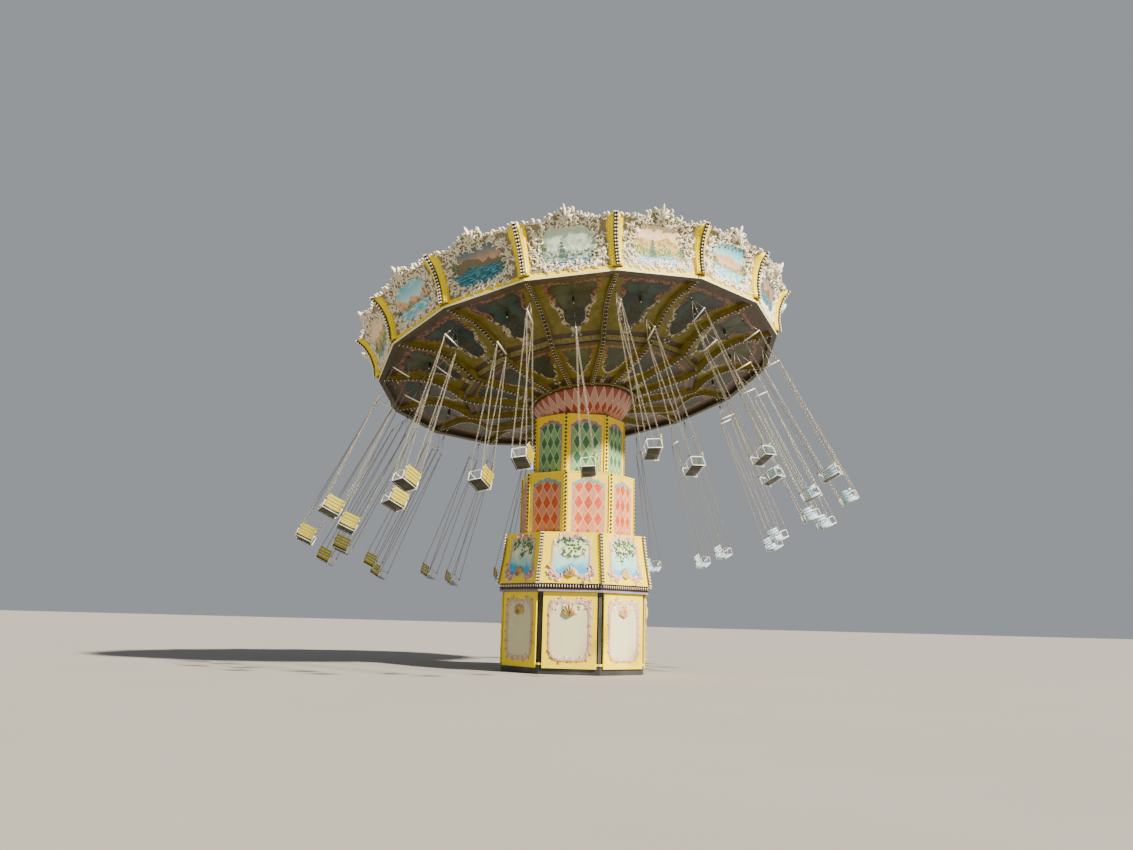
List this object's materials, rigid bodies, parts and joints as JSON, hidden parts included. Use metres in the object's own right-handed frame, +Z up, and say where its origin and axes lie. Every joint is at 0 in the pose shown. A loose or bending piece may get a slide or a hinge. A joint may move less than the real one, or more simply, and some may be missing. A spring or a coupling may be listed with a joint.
{
  "type": "chair swing ride",
  "caption": "Fairground swing ride: telescopic tower on an eight-sided base, tilting sixteen-sided crown with painted boards, and two rings of chairs hung on chains.",
  "frame": {"origin": "on the ground under the middle of the tower", "axes": "+Z up along the tower; a base face points to -Y, where the picture is taken from"},
  "size_m": [17.9983, 17.9928, 13.2535],
  "materials": {
    "dark_steel_metal": "satin paint on steel",
    "yellow_paint_panel": "satin paint on glass-fibre or board",
    "grey_paint_metal": "satin paint on steel",
    "green_paint_panel": "satin paint on glass-fibre or board",
    "roof_sheet_panel": "satin paint on glass-fibre or board",
    "pink_paint_panel": "satin paint on glass-fibre or board",
    "dark_green_paint_metal": "satin paint on steel",
    "yellow_paint_metal": "satin paint on steel",
    "ceiling_paint_panel": "satin paint on glass-fibre or board",
    "cream_paint_panel": "satin paint on glass-fibre or board",
    "cream_paint_metal": "satin paint on steel",
    "chair_paint_metal": "satin paint on steel"
  },
  "bodies": {
    "base": {"ground_frame": "dark_steel_metal", "base_frame": "dark_steel_metal", "base_panels": "yellow_paint_panel", "base_ledge": "grey_paint_metal", "skirt": "yellow_paint_panel", "skirt_top": "yellow_paint_panel", "pedestal": "dark_steel_metal"},
    "turntable": {"mast_foot": "dark_steel_metal"},
    "tower_stage": {"mast_middle": "dark_steel_metal", "lower_shaft": "yellow_paint_panel", "lower_shaft_top": "yellow_paint_panel"},
    "tower_top": {"mast_head": "dark_steel_metal", "upper_shaft": "green_paint_panel"},
    "tilt_frame": {"tilt_head": "dark_steel_metal"},
    "crown": {"crown_hub": "dark_steel_metal", "crown_spokes": "dark_steel_metal", "crown_roof": "roof_sheet_panel", "bell": "pink_paint_panel", "bell_rim": "dark_green_paint_metal", "ceiling_beams": "yellow_paint_metal", "ceiling_outer": "ceiling_paint_panel", "ceiling_riser": "cream_paint_panel", "ceiling_inner": "ceiling_paint_panel", "crown_rim": "cream_paint_metal", "boards_1": "yellow_paint_panel", "boards_2": "yellow_paint_panel", "boards_3": "yellow_paint_panel", "boards_4": "yellow_paint_panel"},
    "swing_01": {"chair_01": "chair_paint_metal"},
    "swing_02": {"chair_02": "chair_paint_metal"},
    "swing_03": {"chair_03": "chair_paint_metal"},
    "swing_04": {"chair_04": "chair_paint_metal"},
    "swing_05": {"chair_05": "chair_paint_metal"},
    "swing_06": {"chair_06": "chair_paint_metal"},
    "swing_07": {"chair_07": "chair_paint_metal"},
    "swing_08": {"chair_08": "chair_paint_metal"},
    "swing_09": {"chair_09": "chair_paint_metal"},
    "swing_10": {"chair_10": "chair_paint_metal"},
    "swing_11": {"chair_11": "chair_paint_metal"},
    "swing_12": {"chair_12": "chair_paint_metal"},
    "swing_13": {"chair_13": "chair_paint_metal"},
    "swing_14": {"chair_14": "chair_paint_metal"},
    "swing_15": {"chair_15": "chair_paint_metal"},
    "swing_16": {"chair_16": "chair_paint_metal"},
    "swing_17": {"chair_17": "chair_paint_metal"},
    "swing_18": {"chair_18": "chair_paint_metal"},
    "swing_19": {"chair_19": "chair_paint_metal"},
    "swing_20": {"chair_20": "chair_paint_metal"},
    "swing_21": {"chair_21": "chair_paint_metal"},
    "swing_22": {"chair_22": "chair_paint_metal"},
    "swing_23": {"chair_23": "chair_paint_metal"},
    "swing_24": {"chair_24": "chair_paint_metal"},
    "swing_25": {"chair_25": "chair_paint_metal"},
    "swing_26": {"chair_26": "chair_paint_metal"},
    "swing_27": {"chair_27": "chair_paint_metal"},
    "swing_28": {"chair_28": "chair_paint_metal"},
    "swing_29": {"chair_29": "chair_paint_metal"},
    "swing_30": {"chair_30": "chair_paint_metal"},
    "swing_31": {"chair_31": "chair_paint_metal"},
    "swing_32": {"chair_32": "chair_paint_metal"}
  },
  "joints": [
    {"name": "tower_turn", "type": "hinge", "parent": "base", "child": "turntable", "pos_m": [0, 0, 0.4], "axis": [0, 0, 1], "continuous": true},
    {"name": "tower_lift", "type": "slide", "parent": "turntable", "child": "tower_stage", "axis": [0, 0, 1], "range_m": [-1.5, 0]},
    {"name": "upper_lift", "type": "slide", "parent": "tower_stage", "child": "tower_top", "axis": [0, 0, 1], "range_m": [-1.5, 0]},
    {"name": "crown_tilt", "type": "hinge", "parent": "tower_top", "child": "tilt_frame", "pos_m": [0, 0, 9.65], "axis": [-0.7727, -0.6347, 0], "range_deg": [-12.9, 0]},
    {"name": "crown_spin", "type": "hinge", "parent": "tilt_frame", "child": "crown", "pos_m": [0, 0, 9.65], "axis": [-0.1417, 0.1725, 0.9748], "continuous": true},
    {"name": "swing_01_hinge", "type": "hinge", "parent": "crown", "child": "swing_01", "pos_m": [1.28524, -5.82731, 11.16566], "axis": [-0.9741, -0.1995, -0.1063], "range_deg": [-15.92, 29.08]},
    {"name": "swing_02_hinge", "type": "hinge", "parent": "crown", "child": "swing_02", "pos_m": [2.05892, -4.6264, 11.0656], "axis": [-0.8905, -0.4523, -0.0494], "range_deg": [-13.78, 31.22]},
    {"name": "swing_03_hinge", "type": "hinge", "parent": "crown", "child": "swing_03", "pos_m": [3.45807, -4.81831, 11.30296], "axis": [-0.7334, -0.6796, 0.0137], "range_deg": [-14.96, 30.04]},
    {"name": "swing_04_hinge", "type": "hinge", "parent": "crown", "child": "swing_04", "pos_m": [3.71828, -3.42563, 11.09431], "axis": [-0.4961, -0.8645, 0.0809], "range_deg": [-13.95, 31.05]},
    {"name": "swing_05_hinge", "type": "hinge", "parent": "crown", "child": "swing_05", "pos_m": [5.09818, -3.06815, 11.23165], "axis": [-0.265, -0.9554, 0.1306], "range_deg": [-16.21, 28.79]},
    {"name": "swing_06_hinge", "type": "hinge", "parent": "crown", "child": "swing_06", "pos_m": [4.80531, -1.69573, 10.94618], "axis": [0.0176, -0.9841, 0.1767], "range_deg": [-16.28, 28.72]},
    {"name": "swing_07_hinge", "type": "hinge", "parent": "crown", "child": "swing_07", "pos_m": [5.95589, -0.84327, 10.96257], "axis": [0.2157, -0.9557, 0.2005], "range_deg": [-19.27, 25.73]},
    {"name": "swing_08_hinge", "type": "hinge", "parent": "crown", "child": "swing_08", "pos_m": [5.15452, 0.29995, 10.64375], "axis": [0.4448, -0.8686, 0.2184], "range_deg": [-19.99, 25.01]},
    {"name": "swing_09_hinge", "type": "hinge", "parent": "crown", "child": "swing_09", "pos_m": [5.90061, 1.5176, 10.53671], "axis": [0.5852, -0.7796, 0.223], "range_deg": [-23.33, 21.67]},
    {"name": "swing_10_hinge", "type": "hinge", "parent": "crown", "child": "swing_10", "pos_m": [4.71275, 2.25758, 10.23307], "axis": [0.7411, -0.6343, 0.22], "range_deg": [-24.27, 20.73]},
    {"name": "swing_11_hinge", "type": "hinge", "parent": "crown", "child": "swing_11", "pos_m": [4.94076, 3.65505, 10.01889], "axis": [0.8312, -0.5141, 0.2118], "range_deg": [-27.68, 17.32]},
    {"name": "swing_12_hinge", "type": "hinge", "parent": "crown", "child": "swing_12", "pos_m": [3.54724, 3.87913, 9.77665], "axis": [0.9194, -0.3422, 0.1942], "range_deg": [-28.52, 16.48]},
    {"name": "swing_13_hinge", "type": "hinge", "parent": "crown", "child": "swing_13", "pos_m": [3.22247, 5.24367, 9.48795], "axis": [0.9632, -0.2031, 0.176], "range_deg": [-31.76, 13.24]},
    {"name": "swing_14_hinge", "type": "hinge", "parent": "crown", "child": "swing_14", "pos_m": [1.83544, 4.91773, 9.34399], "axis": [0.9888, -0.0225, 0.1477], "range_deg": [-32.25, 12.75]},
    {"name": "swing_15_hinge", "type": "hinge", "parent": "crown", "child": "swing_15", "pos_m": [1.00733, 6.0416, 9.02471], "axis": [0.9847, 0.1253, 0.121], "range_deg": [-35.09, 9.91]},
    {"name": "swing_16_hinge", "type": "hinge", "parent": "crown", "child": "swing_16", "pos_m": [-0.16204, 5.21527, 9.00096], "axis": [0.9505, 0.2987, 0.0853], "range_deg": [-34.99, 10.01]},
    {"name": "swing_17_hinge", "type": "hinge", "parent": "crown", "child": "swing_17", "pos_m": [-1.36742, 5.92737, 8.6997], "axis": [0.8958, 0.4413, 0.0521], "range_deg": [-37.22, 7.78]},
    {"name": "swing_18_hinge", "type": "hinge", "parent": "crown", "child": "swing_18", "pos_m": [-2.14111, 4.72645, 8.79976], "axis": [0.8072, 0.5901, 0.0129], "range_deg": [-36.33, 8.67]},
    {"name": "swing_19_hinge", "type": "hinge", "parent": "crown", "child": "swing_19", "pos_m": [-3.54026, 4.91836, 8.5624], "axis": [0.7044, 0.7094, -0.0231], "range_deg": [-37.77, 7.23]},
    {"name": "swing_20_hinge", "type": "hinge", "parent": "crown", "child": "swing_20", "pos_m": [-3.80047, 3.52569, 8.77105], "axis": [0.5742, 0.8165, -0.061], "range_deg": [-36.03, 8.97]},
    {"name": "swing_21_hinge", "type": "hinge", "parent": "crown", "child": "swing_21", "pos_m": [-5.18037, 3.1682, 8.63372], "axis": [0.4344, 0.8956, -0.0954], "range_deg": [-36.65, 8.35]},
    {"name": "swing_22_hinge", "type": "hinge", "parent": "crown", "child": "swing_22", "pos_m": [-4.8875, 1.79579, 8.91918], "axis": [0.2816, 0.951, -0.1274], "range_deg": [-34.14, 10.86]},
    {"name": "swing_23_hinge", "type": "hinge", "parent": "crown", "child": "swing_23", "pos_m": [-6.03808, 0.94333, 8.90279], "axis": [0.1218, 0.9803, -0.1558], "range_deg": [-34.08, 10.92]},
    {"name": "swing_24_hinge", "type": "hinge", "parent": "crown", "child": "swing_24", "pos_m": [-5.23671, -0.19989, 9.22161], "axis": [-0.0346, 0.9832, -0.179], "range_deg": [-31.03, 13.97]},
    {"name": "swing_25_hinge", "type": "hinge", "parent": "crown", "child": "swing_25", "pos_m": [-5.9828, -1.41755, 9.32865], "axis": [-0.1984, 0.9598, -0.1987], "range_deg": [-30.53, 14.47]},
    {"name": "swing_26_hinge", "type": "hinge", "parent": "crown", "child": "swing_26", "pos_m": [-4.79493, -2.15752, 9.63229], "axis": [-0.3447, 0.9145, -0.212], "range_deg": [-27.18, 17.82]},
    {"name": "swing_27_hinge", "type": "hinge", "parent": "crown", "child": "swing_27", "pos_m": [-5.02295, -3.55499, 9.84647], "axis": [-0.5, 0.8374, -0.2209], "range_deg": [-26.47, 18.53]},
    {"name": "swing_28_hinge", "type": "hinge", "parent": "crown", "child": "swing_28", "pos_m": [-3.62943, -3.77907, 10.08871], "axis": [-0.6276, 0.7458, -0.2232], "range_deg": [-23.05, 21.95]},
    {"name": "swing_29_hinge", "type": "hinge", "parent": "crown", "child": "swing_29", "pos_m": [-3.30466, -5.14361, 10.37742], "axis": [-0.7613, 0.6104, -0.2187], "range_deg": [-22.35, 22.65]},
    {"name": "swing_30_hinge", "type": "hinge", "parent": "crown", "child": "swing_30", "pos_m": [-1.91763, -4.81768, 10.52137], "axis": [-0.8597, 0.4668, -0.2076], "range_deg": [-19.07, 25.93]},
    {"name": "swing_31_hinge", "type": "hinge", "parent": "crown", "child": "swing_31", "pos_m": [-1.08952, -5.94154, 10.84065], "axis": [-0.9464, 0.2651, -0.1845], "range_deg": [-18.64, 26.36]},
    {"name": "swing_32_hinge", "type": "hinge", "parent": "crown", "child": "swing_32", "pos_m": [0.07985, -5.11522, 10.86441], "axis": [-0.9865, 0.0573, -0.1536], "range_deg": [-15.74, 29.26]}
  ],
  "couplings": [
    {"joint": "upper_lift", "follows": "tower_lift", "ratio": 1},
    {"joint": "crown_tilt", "follows": "tower_lift", "rad_per_m": 0.1501}
  ]
}
